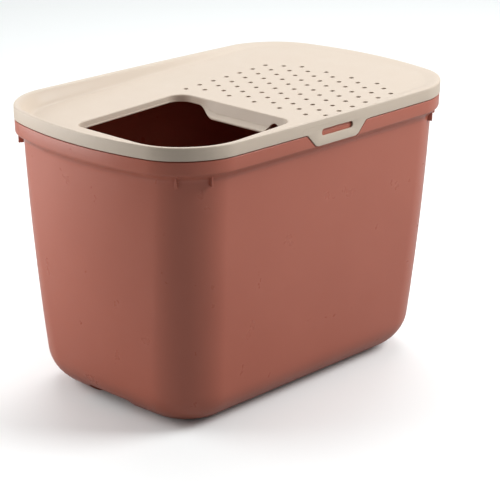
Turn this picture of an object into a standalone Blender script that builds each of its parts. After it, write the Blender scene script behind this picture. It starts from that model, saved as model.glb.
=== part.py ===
"""Top-entry cat litter box: a deep moulded tub under a press-fit lid with a vented floor.

Run with:  blender --background --python part.py
Metres, +Z up. X runs along the long side, Y along the short side, and the origin is the
centre of the face that the tub stands on. The entry opening is in the -X, -Y corner.
"""

import math

import bmesh
import bpy
import numpy as np
from mathutils import Matrix

# Overall size
LENGTH = 0.585
WIDTH = 0.375
HEIGHT = 0.395

# Plan outline of the lid: a rounded rectangle whose sides bow outward
CORNER = 0.066
END_BOW = 0.0373
SIDE_BOW = 0.0035

# Mouldings
WALL = 0.0022
GAP = 0.0004
SEAM = 0.0014
CUT_MARGIN = 0.010
TUB_ROUGHNESS = 0.38
LID_ROUGHNESS = 0.42

# Tub
TUB_TOP_INSET = 0.0115
TUB_TOP_CORNER = CORNER - TUB_TOP_INSET
WALL_TOP_Z = HEIGHT - 0.046
WALL_FULLNESS = 0.0025
BASE_HALF_X = 0.2424
BASE_HALF_Y = 0.1505
BASE_CORNER = 0.0662
BASE_ROUND = 0.0500
BASE_BOW = 0.0045
FOOT_WIDTH = 0.009
FOOT_HEIGHT = 0.005
FOOT_STEP = 0.001
FLOOR_Z = FOOT_HEIGHT + 0.0026
WALL_ROWS = (0.15, 0.25)
BAND_INSET = 0.0006
BAND_LOW_Z = HEIGHT - 0.0345
BAND_ROUND = 0.0008
FLARE_INSET = 0.0085
FLARE_RISE = 0.0055
BAND_EDGE_INSET = 0.0022
BAND_EDGE_DROP = 0.0020
INSIDE_FLARE_DROP = 0.0030
INSIDE_STEP = 0.001
UPSTAND_INSET = 0.0034
UPSTAND_THICK = 0.0022
UPSTAND_TOP_Z = HEIGHT - 0.0056
NOTCH_Y = 0.0040
NOTCH_LENGTH = 0.0800
NOTCH_HEIGHT = 0.0210
NOTCH_OUTER_X = -0.285
NOTCH_INNER_X = -0.1790
NOTCH_WALL = 0.0025
NOTCH_ROOF_START = (-0.2305, 0.0190)
NOTCH_ROOF_FOOT = (-0.2150, 0.0064)

# Corner ribs under the band
RIB_ANGLES = (30.0, 68.0)
RIB_THICK = 0.0024
RIB_LOW_Z = HEIGHT - 0.0535
RIB_TOP_Z = HEIGHT - 0.0400
RIB_OUTER_INSET = 0.0055
RIB_INNER_INSET = 0.0130

# Lid
SKIRT_LOW_Z = HEIGHT - 0.0172
LIP_ROUND = 0.0026
LIP_CREST = 0.0040
LIP_FOOT = 0.0240
LIP_SLOPE = 0.0120
SKIRT_EDGE = 0.0006
FLOOR_DROP = 0.0112
FLOOR_TILT = 0.0376

# Entry opening, its collar, and the ledge with a hang notch on its right side
ENTRY_LEFT = -0.2254
ENTRY_RIGHT = -0.0313
ENTRY_NEAR = -0.1385
ENTRY_FAR = 0.0715
ENTRY_RADII = {"far_right": 0.024, "far_left": 0.018, "near_left": 0.092, "near_right": 0.018}
ENTRY_CENTRE = np.array((-0.130, -0.045))
COLLAR_DROP = 0.0080
COLLAR_BEAD = 0.0006
COLLAR_ROUND = 0.0030
COLLAR_ROOT = 0.0018
LEDGE_EXTRA_DROP = 0.0110
LEDGE_LEAN = 0.0060
LEDGE_LIP = 0.0090
LEDGE_BEVEL = 0.0045
LEDGE_BLEND_Y = (0.035, -0.007)
LEDGE_BLEND_X = (-0.062, -0.038)
HANG_NOTCH_Y = -0.1095
HANG_NOTCH_RADIUS = 0.0095
HANG_NOTCH_DROP = 0.0305
HANG_NOTCH_RUNOUT = 0.0100
HANG_NOTCH_X = (-0.060, -0.024)

# Vents: a triangular lattice of round holes
VENT_PITCH = 0.0268
VENT_RADIUS = 0.0037
VENT_SIDES = 8
VENT_START = (0.0009, -0.0842)
VENT_FIRST_ROW = -3
VENT_ROWS = 11
VENT_SPAN = (0, 7)
VENT_FIRST_SPAN = (0, 6)
VENT_LAST_SPAN = (-1, 6)
VENT_PIN_LENGTH = 0.012

# Snap tabs
TAB_TOP_Z = HEIGHT - 0.0085
TAB_LOW_Z = HEIGHT - 0.0358
TAB_HALF = 0.0660
TAB_FLANK_HALF = 0.0580
TAB_LOW_HALF = 0.0400
TAB_FILLET = 0.0120
SLOT_HALF = 0.0305
SLOT_RADIUS = 0.0046
SLOT_Z = HEIGHT - 0.0187
POCKET_DEPTH = 0.0029
POCKET_MARGIN = 0.0009
POCKET_RUNOUT = 0.0080

# Faceting
ARC_STEPS = 7
SIDE_POINTS = 5
END_POINTS = 5
FILLET_STEPS = 4

TERRACOTTA = (0.36, 0.125, 0.088, 1.0)
CREAM = (0.80, 0.72, 0.62, 1.0)


# ---------------------------------------------------------------- outlines

def arc(centre, radius, start_deg, end_deg, steps):
    """Points on a circular arc, both ends included."""
    angles = np.radians(np.linspace(start_deg, end_deg, steps + 1))
    return np.stack([centre[0] + radius * np.cos(angles), centre[1] + radius * np.sin(angles)], axis=1)


def outline(half_x, half_y, corner, end_bow, side_bow):
    """Anticlockwise rounded rectangle whose ends and sides bow outward by the given amounts."""
    flat_x, flat_y = half_x - end_bow, half_y - side_bow
    arcs = [
        arc((sx * (flat_x - corner), sy * (flat_y - corner)), corner, start, start + 90, ARC_STEPS)
        for sx, sy, start in ((1, 1, 0), (-1, 1, 90), (-1, -1, 180), (1, -1, 270))
    ]
    points = []
    for index, piece in enumerate(arcs):
        following = arcs[(index + 1) % 4][0]
        count = SIDE_POINTS if index % 2 == 0 else END_POINTS
        steps = np.linspace(0, 1, count + 2)[1:-1, None]
        points += [piece, piece[-1] + (following - piece[-1]) * steps]
    points = np.concatenate(points)
    x, y = points[:, 0], points[:, 1]
    bowed_x = x + np.sign(x) * end_bow * (1 - (y / flat_y) ** 2)
    bowed_y = y + np.sign(y) * side_bow * (1 - (x / flat_x) ** 2)
    return np.stack([bowed_x, bowed_y], axis=1)


def rim_outline(inset):
    """The lid's outline, moved inward by inset."""
    return outline(LENGTH / 2 - inset, WIDTH / 2 - inset, CORNER - inset, END_BOW, SIDE_BOW)


def tub_outline(z, inset):
    """The tub's wall at height z, moved inward: bowed more at the top than at the base, and fuller between."""
    share = z / WALL_TOP_Z
    top_x, top_y = LENGTH / 2 - TUB_TOP_INSET, WIDTH / 2 - TUB_TOP_INSET
    fuller = WALL_FULLNESS * 4 * share * (1 - share)
    return outline(
        BASE_HALF_X + (top_x - BASE_HALF_X) * share + fuller - inset,
        BASE_HALF_Y + (top_y - BASE_HALF_Y) * share + fuller - inset,
        max(BASE_CORNER + (TUB_TOP_CORNER - BASE_CORNER) * share - inset * 0.75, 0.010),
        BASE_BOW + (END_BOW - BASE_BOW) * share,
        SIDE_BOW * share,
    )


def entry_outline():
    """The entry opening: four corner arcs of unlike radii."""
    radii = ENTRY_RADII
    arcs = (
        (ENTRY_RIGHT, ENTRY_FAR, -1, -1, radii["far_right"], 0),
        (ENTRY_LEFT, ENTRY_FAR, 1, -1, radii["far_left"], 90),
        (ENTRY_LEFT, ENTRY_NEAR, 1, 1, radii["near_left"], 180),
        (ENTRY_RIGHT, ENTRY_NEAR, -1, 1, radii["near_right"], 270),
    )
    return np.concatenate([
        arc((x + sx * radius, y + sy * radius), radius, start, start + 90, ARC_STEPS)
        for x, y, sx, sy, radius, start in arcs
    ])


def loop_normals(loop):
    """Outward unit normals of an anticlockwise loop."""
    tangent = np.roll(loop, -1, axis=0) - np.roll(loop, 1, axis=0)
    normal = np.stack([tangent[:, 1], -tangent[:, 0]], axis=1)
    return normal / np.linalg.norm(normal, axis=1)[:, None]


def bearings(loop, centre):
    """The direction of each loop point from centre, in radians from 0 to a full turn."""
    return np.mod(np.arctan2(loop[:, 1] - centre[1], loop[:, 0] - centre[0]), 2 * math.pi)


def ray_hits(loop, centre, angles):
    """Where rays from centre at the given angles cross a star-shaped loop."""
    order = np.argsort(bearings(loop, centre))
    ring = loop[order]
    first = np.searchsorted(bearings(ring, centre), angles, side="right") - 1
    start, end = ring[first] - centre, ring[(first + 1) % len(ring)] - centre
    ray = np.stack([np.cos(angles), np.sin(angles)], axis=1)
    edge = end - start
    across = start[:, 0] * edge[:, 1] - start[:, 1] * edge[:, 0]
    reach = across / (ray[:, 0] * edge[:, 1] - ray[:, 1] * edge[:, 0])
    return centre + ray * reach[:, None]


def smoothstep(value, start, end):
    """0 before start, 1 after end, and a smooth rise between them."""
    share = np.clip((value - start) / (end - start), 0.0, 1.0)
    return share * share * (3 - 2 * share)


# ---------------------------------------------------------------- mesh helpers

def with_z(loop, z):
    """A plan loop lifted to a height, or to one height for each point."""
    return np.column_stack([loop, np.broadcast_to(z, len(loop))])


def loft(name, loops, ring, collection, material):
    """Solid through loops of equal count: closed on itself when ring, or capped at both ends."""
    count, rows = len(loops[0]), len(loops)
    faces = []
    for row in range(rows if ring else rows - 1):
        low, high = row * count, (row + 1) % rows * count
        for column in range(count):
            following = (column + 1) % count
            faces.append((low + column, low + following, high + following, high + column))
    if not ring:
        faces.append(tuple(reversed(range(count))))
        faces.append(tuple(range((rows - 1) * count, rows * count)))
    mesh = bpy.data.meshes.new(name)
    mesh.from_pydata(np.concatenate(loops).tolist(), [], faces)
    return add_object(name, mesh, collection, material)


def add_object(name, mesh, collection, material=None):
    """A new object in a collection, smooth but for its sharp edges."""
    thing = bpy.data.objects.new(name, mesh)
    collection.objects.link(thing)
    if material:
        mesh.materials.append(material)
        mesh.shade_smooth()
        mesh.set_sharp_from_angle(angle=math.radians(30))
    else:
        thing.hide_render = True
        thing.display_type = "WIRE"
    return thing


def prism(name, points, low_y, high_y, collection, material=None):
    """Solid of an anticlockwise XZ outline between two Y planes."""
    near = [(x, low_y, z) for x, z in points]
    far = [(x, high_y, z) for x, z in points]
    return loft(name, [np.array(far), np.array(near)], False, collection, material)


def boolean(target, cutter, operation):
    """Adds a Boolean modifier to target."""
    modifier = target.modifiers.new(cutter.name, "BOOLEAN")
    modifier.operation = operation
    modifier.object = cutter
    return modifier


def apply_modifiers(thing):
    """Replaces a mesh by its evaluated copy, so that later cuts start from it."""
    evaluated = thing.evaluated_get(bpy.context.evaluated_depsgraph_get())
    mesh = bpy.data.meshes.new_from_object(evaluated)
    thing.modifiers.clear()
    thing.data = mesh


def cutter_from_bmesh(name, shape, collection):
    """A Boolean's second object from a bmesh, which is freed."""
    mesh = bpy.data.meshes.new(name)
    shape.to_mesh(mesh)
    shape.free()
    return add_object(name, mesh, collection)


def cube_cutter(name, boxes, collection):
    """One cutter of boxes, each given by its centre, its size and its turn about Z."""
    shape = bmesh.new()
    for centre, size, turn in boxes:
        place = Matrix.Translation(centre) @ Matrix.Rotation(turn, 4, "Z") @ Matrix.Diagonal((*size, 1))
        bmesh.ops.create_cube(shape, size=1, matrix=place)
    return cutter_from_bmesh(name, shape, collection)


# ---------------------------------------------------------------- tub

def round_loops(radius, inset, low_z, steps=6):
    """Loops of a quarter round between the base and the wall, from the base up."""
    loops = []
    for angle in np.radians(np.linspace(0, 90, steps + 1)):
        z = low_z + radius * (1 - math.cos(angle))
        loops.append(with_z(tub_outline(z, inset + radius * (1 - math.sin(angle))), z))
    return loops


def tub_loops():
    """The tub's section, from under the base, up the outside, over the rim and down the inside."""
    inner_rim = UPSTAND_INSET + UPSTAND_THICK
    shoulder_z = SKIRT_LOW_Z - SEAM
    foot = [
        with_z(tub_outline(0, BASE_ROUND + FOOT_WIDTH + FOOT_STEP), FOOT_HEIGHT),
        with_z(tub_outline(0, BASE_ROUND + FOOT_WIDTH), 0.0),
    ]
    outside = round_loops(BASE_ROUND, 0.0, 0.0)
    outside += [with_z(tub_outline(z, 0.0), z) for z in (*WALL_ROWS, WALL_TOP_Z)]
    rim = [
        with_z(rim_outline(inset), z)
        for inset, z in (
            (FLARE_INSET, WALL_TOP_Z + FLARE_RISE),
            (BAND_EDGE_INSET, BAND_LOW_Z - BAND_EDGE_DROP),
            (BAND_INSET, BAND_LOW_Z),
            (BAND_INSET, shoulder_z - BAND_ROUND),
            (BAND_INSET + BAND_ROUND, shoulder_z),
            (UPSTAND_INSET, shoulder_z),
            (UPSTAND_INSET, UPSTAND_TOP_Z),
            (inner_rim, UPSTAND_TOP_Z),
            (inner_rim, BAND_LOW_Z - INSIDE_FLARE_DROP),
        )
    ]
    inside = [with_z(tub_outline(z, WALL), z) for z in (WALL_TOP_Z - INSIDE_STEP, *reversed(WALL_ROWS))]
    inside += list(reversed(round_loops(BASE_ROUND - WALL, WALL, FLOOR_Z)))
    return foot + outside + rim + inside


def corner_rib_boxes():
    """Two short radial ribs under the rim band at each corner."""
    boxes = []
    middle_inset = (RIB_OUTER_INSET + RIB_INNER_INSET) / 2
    centre_x = LENGTH / 2 - END_BOW - CORNER
    centre_y = WIDTH / 2 - SIDE_BOW - CORNER
    size = (RIB_INNER_INSET - RIB_OUTER_INSET, RIB_THICK, RIB_TOP_Z - RIB_LOW_Z)
    for sx in (-1, 1):
        for sy in (-1, 1):
            for degrees in RIB_ANGLES:
                angle = math.radians(degrees)
                reach = CORNER - middle_inset
                x = centre_x + reach * math.cos(angle)
                y = centre_y + reach * math.sin(angle)
                x += END_BOW * (1 - (y / (WIDTH / 2 - SIDE_BOW)) ** 2)
                place = (sx * x, sy * y, (RIB_TOP_Z + RIB_LOW_Z) / 2)
                boxes.append((place, size, math.atan2(sy * math.sin(angle), sx * math.cos(angle))))
    return boxes


def make_tub(parts, cutters, material):
    """The tub with its ribs, tab pockets and grip notch, whose roof stands up inside the tub."""
    tub = loft("tub", tub_loops(), False, parts, material)
    ribs = boolean(tub, cube_cutter("tub_ribs", corner_rib_boxes(), cutters), "UNION")
    ribs.solver = "MANIFOLD"
    pocket = tab_points(POCKET_MARGIN, TAB_TOP_Z, TAB_LOW_Z - POCKET_RUNOUT)
    for side in (-1, 1):
        inner, outer = side * (WIDTH / 2 - POCKET_DEPTH), side * (WIDTH / 2 + CUT_MARGIN)
        cutter = prism(f"tab_pocket_{side}", pocket, min(inner, outer), max(inner, outer), cutters)
        boolean(tub, cutter, "DIFFERENCE")
    roof_z, roof_end = NOTCH_HEIGHT + NOTCH_WALL, NOTCH_INNER_X + NOTCH_WALL
    roof = [
        NOTCH_ROOF_START, NOTCH_ROOF_FOOT, (roof_end, NOTCH_ROOF_FOOT[1]), (roof_end, roof_z),
        (NOTCH_ROOF_START[0], roof_z),
    ]
    roof_half = NOTCH_LENGTH / 2 + NOTCH_WALL
    boolean(tub, prism("notch_roof", roof, NOTCH_Y - roof_half, NOTCH_Y + roof_half, cutters), "UNION")
    notch_size = (NOTCH_INNER_X - NOTCH_OUTER_X, NOTCH_LENGTH, 2 * NOTCH_HEIGHT)
    notch_place = ((NOTCH_OUTER_X + NOTCH_INNER_X) / 2, NOTCH_Y, 0.0)
    boolean(tub, cube_cutter("base_notch", [(notch_place, notch_size, 0.0)], cutters), "DIFFERENCE")
    return tub


# ---------------------------------------------------------------- lid

def lid_top(points, rim):
    """Height of the lid's upper face: a tilted floor that rises in an S curve to the lip."""
    start, end = rim, np.roll(rim, -1, axis=0)
    edge = end - start
    away = points[:, None, :] - start[None, :, :]
    along = np.clip((away * edge).sum(axis=2) / (edge * edge).sum(axis=1), 0.0, 1.0)
    inset = np.linalg.norm(away - along[:, :, None] * edge, axis=2).min(axis=1)
    floor = HEIGHT - FLOOR_DROP + FLOOR_TILT * points[:, 0]
    return floor + (HEIGHT - floor) * (1 - smoothstep(inset, LIP_CREST, LIP_FOOT))


def ledge_share(points):
    """1 along the opening's right side, where the collar becomes a deep ledge, and 0 elsewhere."""
    by_y = smoothstep(points[:, 1], LEDGE_BLEND_Y[0], LEDGE_BLEND_Y[1])
    return by_y * smoothstep(points[:, 0], LEDGE_BLEND_X[0], LEDGE_BLEND_X[1])


def lid_loops():
    """The lid's section carried round the entry opening: skirt, lip, floor, collar and back underneath."""
    rim, entry = rim_outline(0.0), entry_outline()
    angles = np.unique(np.round(np.concatenate([
        bearings(rim, ENTRY_CENTRE), bearings(entry, ENTRY_CENTRE)]), 3))
    outer = ray_hits(rim, ENTRY_CENTRE, angles)
    inner = ray_hits(entry, ENTRY_CENTRE, angles)
    out_normal, in_normal = loop_normals(outer), loop_normals(inner)
    width = np.abs(((outer - inner) * out_normal).sum(axis=1))
    share = ledge_share(inner)
    lean, tongue = LEDGE_LEAN * share, COLLAR_BEAD + LEDGE_LIP * share

    def across(inset, most):
        return outer + (inner - outer) * np.minimum(inset / width, most)[:, None]

    def beside(distance):
        return inner + in_normal * np.broadcast_to(distance, len(inner))[:, None]

    crest, slope, foot = across(LIP_CREST, 0.30), across(LIP_SLOPE, 0.52), across(LIP_FOOT, 0.70)
    roll = beside(COLLAR_ROUND)
    edge_z = lid_top(roll, rim)
    floor_z = HEIGHT - FLOOR_DROP + FLOOR_TILT * inner[:, 0]
    low_z = floor_z - COLLAR_DROP - LEDGE_EXTRA_DROP * share
    return [
        with_z(outer - out_normal * WALL, SKIRT_LOW_Z),
        with_z(outer - out_normal * SKIRT_EDGE / 2, SKIRT_LOW_Z),
        with_z(outer, SKIRT_LOW_Z + SKIRT_EDGE),
        with_z(outer, HEIGHT - LIP_ROUND),
        with_z(outer - out_normal * LIP_ROUND * 0.3, HEIGHT - LIP_ROUND * 0.3),
        with_z(across(LIP_ROUND, 0.2), HEIGHT),
        with_z(crest, lid_top(crest, rim)),
        with_z(slope, lid_top(slope, rim)),
        with_z(foot, lid_top(foot, rim)),
        with_z(roll, edge_z),
        with_z(beside(COLLAR_ROUND * 0.3), edge_z - COLLAR_ROUND * 0.3),
        with_z(inner, edge_z - COLLAR_ROUND),
        with_z(beside(-lean), low_z + LEDGE_BEVEL * share),
        with_z(beside(-lean - tongue), low_z),
        with_z(beside(-lean - tongue), low_z - WALL),
        with_z(beside(WALL - lean), low_z - WALL),
        with_z(beside(WALL), edge_z - WALL - COLLAR_ROOT),
        with_z(beside(WALL + COLLAR_ROOT), edge_z - WALL),
        with_z(foot, lid_top(foot, rim) - WALL),
        with_z(slope, lid_top(slope, rim) - WALL),
        with_z(crest, lid_top(crest, rim) - WALL),
        with_z(outer - out_normal * WALL, HEIGHT - WALL - SKIRT_EDGE),
    ]


def vent_centres():
    """Plan positions of the vents: staggered rows at equal pitch, the first one hole shorter."""
    row_step = VENT_PITCH * math.sqrt(3) / 2
    last_row = VENT_FIRST_ROW + VENT_ROWS - 1
    spans = {VENT_FIRST_ROW: VENT_FIRST_SPAN, last_row: VENT_LAST_SPAN}
    for row in range(VENT_FIRST_ROW, last_row + 1):
        shift = VENT_PITCH / 2 if row % 2 else 0.0
        for place in range(*spans.get(row, VENT_SPAN)):
            yield VENT_START[0] + shift + place * VENT_PITCH, VENT_START[1] + row * row_step


def vent_cutter(collection):
    """One cutter of a short pin through each vent."""
    shape = bmesh.new()
    for x, y in vent_centres():
        place = Matrix.Translation((x, y, HEIGHT - FLOOR_DROP + FLOOR_TILT * x))
        bmesh.ops.create_cone(
            shape, cap_ends=True, segments=VENT_SIDES, radius1=VENT_RADIUS, radius2=VENT_RADIUS,
            depth=VENT_PIN_LENGTH, matrix=place)
    return cutter_from_bmesh("vent_pins", shape, collection)


def hang_notch_points():
    """A round-topped notch in YZ, drawn from its round top down through the ledge's lip."""
    spring_z = HEIGHT - HANG_NOTCH_DROP
    top = arc((HANG_NOTCH_Y, spring_z), HANG_NOTCH_RADIUS, 0, 180, 8)
    low = spring_z - HANG_NOTCH_RUNOUT
    return [(HANG_NOTCH_Y + HANG_NOTCH_RADIUS, low), *top.tolist(), (HANG_NOTCH_Y - HANG_NOTCH_RADIUS, low)]


def make_lid(parts, cutters, material):
    """The lid with its vents, its hang notch and the two windows that the tabs fill."""
    lid = loft("lid", lid_loops(), True, parts, material)
    boolean(lid, vent_cutter(cutters), "DIFFERENCE")
    points = hang_notch_points()
    ends = [np.array([(x, y, z) for y, z in points]) for x in HANG_NOTCH_X]
    boolean(lid, loft("hang_notch", ends, False, cutters, None), "DIFFERENCE")
    half, top, low = TAB_HALF + GAP, TAB_TOP_Z + GAP, SKIRT_LOW_Z - CUT_MARGIN
    window = [(-half, low), (half, low), (half, top), (-half, top)]
    for side in (-1, 1):
        inner, outer = side * (WIDTH / 2 - WALL - GAP), side * (WIDTH / 2 + CUT_MARGIN)
        cutter = prism(f"tab_window_{side}", window, min(inner, outer), max(inner, outer), cutters)
        boolean(lid, cutter, "DIFFERENCE")
    return lid


# ---------------------------------------------------------------- snap tabs

def fillet(before, corner, after, radius):
    """Arc that rounds the corner of a polyline: its points keep to the two tangents."""
    before, corner, after = (np.array(point) for point in (before, corner, after))
    towards = (before - corner) / np.linalg.norm(before - corner)
    away = (after - corner) / np.linalg.norm(after - corner)
    half = math.acos(float(np.clip(towards @ away, -1, 1))) / 2
    centre = corner + (towards + away) / np.linalg.norm(towards + away) * radius / math.sin(half)
    start, end = corner + towards * radius / math.tan(half), corner + away * radius / math.tan(half)
    first = math.degrees(math.atan2(*(start - centre)[::-1]))
    sweep = (math.degrees(math.atan2(*(end - centre)[::-1])) - first + 180) % 360 - 180
    return arc(centre, radius, first, first + sweep, FILLET_STEPS).tolist()


def tab_points(margin, top_z, low_z):
    """Anticlockwise XZ outline of a tab: a straight top part over a filleted trapezoid."""
    skirt_z = SKIRT_LOW_Z - margin
    slope = (TAB_FLANK_HALF - TAB_LOW_HALF) / (SKIRT_LOW_Z - TAB_LOW_Z)
    flank = TAB_FLANK_HALF + 1.5 * margin
    low = (flank - slope * (skirt_z - low_z), low_z)
    top_of_flank = (flank, skirt_z)
    shoulder = (TAB_HALF + margin, skirt_z)
    right = [
        *fillet((-low[0], low_z), low, top_of_flank, TAB_FILLET),
        *fillet(low, top_of_flank, shoulder, TAB_FILLET),
        shoulder,
        (TAB_HALF + margin, top_z),
    ]
    return right + [(-x, z) for x, z in reversed(right)]


def slot_points():
    """Round-ended slot in XZ."""
    reach = SLOT_HALF - SLOT_RADIUS
    right = arc((reach, SLOT_Z), SLOT_RADIUS, -90, 90, 6)
    left = arc((-reach, SLOT_Z), SLOT_RADIUS, 90, 270, 6)
    return np.concatenate([right, left]).tolist()


def make_tab(name, side, parts, cutters, material):
    """A snap tab with its finger slot. Its origin is on the flexing line, its outer top edge."""
    hinge = (0.0, side * WIDTH / 2, TAB_TOP_Z)
    outer, inner = side * WIDTH / 2, side * (WIDTH / 2 - WALL)
    low_y, high_y = min(inner, outer), max(inner, outer)
    tab = prism(name, tab_points(0.0, TAB_TOP_Z, TAB_LOW_Z), low_y, high_y, parts, material)
    cutter = prism(f"{name}_slot", slot_points(), low_y - CUT_MARGIN, high_y + CUT_MARGIN, cutters)
    boolean(tab, cutter, "DIFFERENCE")
    apply_modifiers(tab)
    for vertex in tab.data.vertices:
        vertex.co = [vertex.co[axis] - hinge[axis] for axis in range(3)]
    tab.location = hinge
    return tab


# ---------------------------------------------------------------- assembly

def plastic(name, colour, roughness):
    """Principled material of one moulding colour."""
    material = bpy.data.materials.new(name)
    material.use_nodes = True
    shader = material.node_tree.nodes["Principled BSDF"]
    shader.inputs["Base Color"].default_value = colour
    shader.inputs["Roughness"].default_value = roughness
    shader.inputs["Metallic"].default_value = 0.0
    return material


def main():
    """Clears the scene and builds the four mouldings."""
    for thing in list(bpy.data.objects):
        bpy.data.objects.remove(thing)
    parts = bpy.data.collections.new("cat_litter_box")
    cutters = bpy.data.collections.new("cutters")
    for collection in (parts, cutters):
        bpy.context.scene.collection.children.link(collection)
    terracotta = plastic("terracotta_polypropylene", TERRACOTTA, TUB_ROUGHNESS)
    cream = plastic("cream_polypropylene", CREAM, LID_ROUGHNESS)
    make_tub(parts, cutters, terracotta)
    make_lid(parts, cutters, cream)
    make_tab("front_clip", -1, parts, cutters, cream)
    make_tab("back_clip", 1, parts, cutters, cream)


main()
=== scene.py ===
"""Looks of a top-entry cat litter box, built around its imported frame.

The tub, the lid and the two snap tabs are closed surfaces worked out with numpy: a section is
carried round a plan outline, its corners are rounded, and the small openings are cut afterwards.
Every length is in metres, +Z is up, and X runs along the box's long side.
"""

from __future__ import annotations

import logging
import math
from dataclasses import dataclass, field
from enum import Enum

import bpy
import numpy as np
from mathutils import Matrix, Vector

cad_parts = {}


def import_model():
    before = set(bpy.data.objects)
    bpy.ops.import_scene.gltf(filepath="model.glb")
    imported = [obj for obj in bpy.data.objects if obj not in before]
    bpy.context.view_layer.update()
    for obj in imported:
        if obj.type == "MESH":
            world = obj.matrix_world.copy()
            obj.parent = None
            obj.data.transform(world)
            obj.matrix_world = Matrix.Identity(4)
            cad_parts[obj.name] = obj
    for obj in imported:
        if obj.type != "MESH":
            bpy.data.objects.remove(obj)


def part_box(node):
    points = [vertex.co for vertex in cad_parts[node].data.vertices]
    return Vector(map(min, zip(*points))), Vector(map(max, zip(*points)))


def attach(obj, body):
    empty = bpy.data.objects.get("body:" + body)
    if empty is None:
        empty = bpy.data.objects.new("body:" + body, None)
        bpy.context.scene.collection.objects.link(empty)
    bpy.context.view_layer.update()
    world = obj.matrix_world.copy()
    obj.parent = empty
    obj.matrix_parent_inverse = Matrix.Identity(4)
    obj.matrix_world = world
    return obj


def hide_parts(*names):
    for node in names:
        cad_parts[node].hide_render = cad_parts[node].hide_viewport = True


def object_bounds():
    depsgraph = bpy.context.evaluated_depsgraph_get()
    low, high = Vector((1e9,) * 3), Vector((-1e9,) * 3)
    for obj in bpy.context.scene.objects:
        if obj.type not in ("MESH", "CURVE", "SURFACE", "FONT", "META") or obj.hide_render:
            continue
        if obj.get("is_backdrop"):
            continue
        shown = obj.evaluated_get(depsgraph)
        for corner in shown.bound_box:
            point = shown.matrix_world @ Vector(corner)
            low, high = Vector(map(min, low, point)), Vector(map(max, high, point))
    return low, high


LOG = logging.getLogger("litter_box")

# How far a cutter reaches past the face that it opens
CUT_MARGIN = 0.01
# Trial rays for each pair of matched points
TRIAL_RAYS = 40
# The most of a side that a rounded corner may take
SIDE_SHARE = 0.45
# The cosine past which a corner counts as straight
STRAIGHT_COSINE = 0.9999
TINY_LENGTH = 1e-12
# How far from the middle a rounded prism's end caps start, as a share
CAP_SHARE = 0.5
# Chords in a rounded prism's edges
EDGE_STEPS = 3
# Points measured against the lid's outline at a time
BATCH = 2000


class Side(Enum):
    """The two long sides, by the sign of Y."""

    FRONT = -1
    BACK = 1


class Plane(Enum):
    """The plane that a flat outline is drawn in, as its two axes. It is extruded along the third."""

    XY = (0, 1)
    XZ = (0, 2)
    YZ = (1, 2)


class Change(Enum):
    """What a solid's tools do to it."""

    JOIN = "UNION"
    CUT = "DIFFERENCE"


# ---------------------------------------------------------------- curves and grids


def smoothstep(value: np.ndarray, start: float, end: float) -> np.ndarray:
    """Rises from 0 at start to 1 at end as 3t^2 - 2t^3, where t is the share of the way."""
    share = np.clip((value - start) / (end - start), 0.0, 1.0)
    return share * share * (3 - 2 * share)


def arc(centre: tuple[float, float], radius: float, start: float, end: float, steps: int) -> np.ndarray:
    """Points on a circular arc.

    Args:
        centre: the arc's centre.
        radius: its radius.
        start: the first point's bearing in degrees.
        end: the last point's bearing in degrees.
        steps: how many chords it has.

    Returns:
        Array (steps + 1, 2): centre plus radius times the cosine and sine of evenly spaced bearings.
    """
    angles = np.radians(np.linspace(start, end, steps + 1))
    return np.stack([centre[0] + radius * np.cos(angles), centre[1] + radius * np.sin(angles)], axis=1)


def joined_arcs(arcs: list[np.ndarray], steps: tuple[int, ...]) -> np.ndarray:
    """Closed loop of arcs joined by straight runs.

    Args:
        arcs: arrays (n, 2), in order round the loop.
        steps: for each arc, the chords in the run from its end to the next arc's start.

    Returns:
        Array (n, 2): each run is its start plus even shares of its length, without its two ends.
    """
    runs = []
    for index, (piece, count) in enumerate(zip(arcs, steps)):
        following = arcs[(index + 1) % len(arcs)][0]
        share = np.linspace(0, 1, count + 1)[1:-1, None]
        runs += [piece, piece[-1] + (following - piece[-1]) * share]
    return np.concatenate(runs)


def loop_normals(loop: np.ndarray) -> np.ndarray:
    """Outward unit normals of an anticlockwise loop.

    Args:
        loop: array (n, 2).

    Returns:
        Array (n, 2): the central-difference tangent, turned by -90 degrees and made one long.
    """
    tangent = np.roll(loop, -1, axis=0) - np.roll(loop, 1, axis=0)
    normal = np.stack([tangent[:, 1], -tangent[:, 0]], axis=1)
    return normal / np.linalg.norm(normal, axis=1, keepdims=True)


def bearings(loop: np.ndarray, centre: np.ndarray) -> np.ndarray:
    """Direction of each point from centre, in radians from 0 to a full turn."""
    return np.mod(np.arctan2(loop[:, 1] - centre[1], loop[:, 0] - centre[0]), 2 * math.pi)


def ray_hits(loop: np.ndarray, centre: np.ndarray, angles: np.ndarray) -> np.ndarray:
    """Where rays from a centre cross a star-shaped loop.

    Args:
        loop: the loop's points, array (n, 2).
        centre: a point that sees all of the loop.
        angles: the rays' bearings in radians.

    Returns:
        Array (rays, 2). Each ray meets the chord between the two loop points on either side of its
        bearing, at the cross product of the chord's ends over that of the ray and the chord.
    """
    ring = loop[np.argsort(bearings(loop, centre))]
    first = np.searchsorted(bearings(ring, centre), angles, side="right") - 1
    start, end = ring[first] - centre, ring[(first + 1) % len(ring)] - centre
    ray = np.stack([np.cos(angles), np.sin(angles)], axis=1)
    chord = end - start
    across = start[:, 0] * chord[:, 1] - start[:, 1] * chord[:, 0]
    reach = across / (ray[:, 0] * chord[:, 1] - ray[:, 1] * chord[:, 0])
    return centre + ray * reach[:, None]


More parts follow.
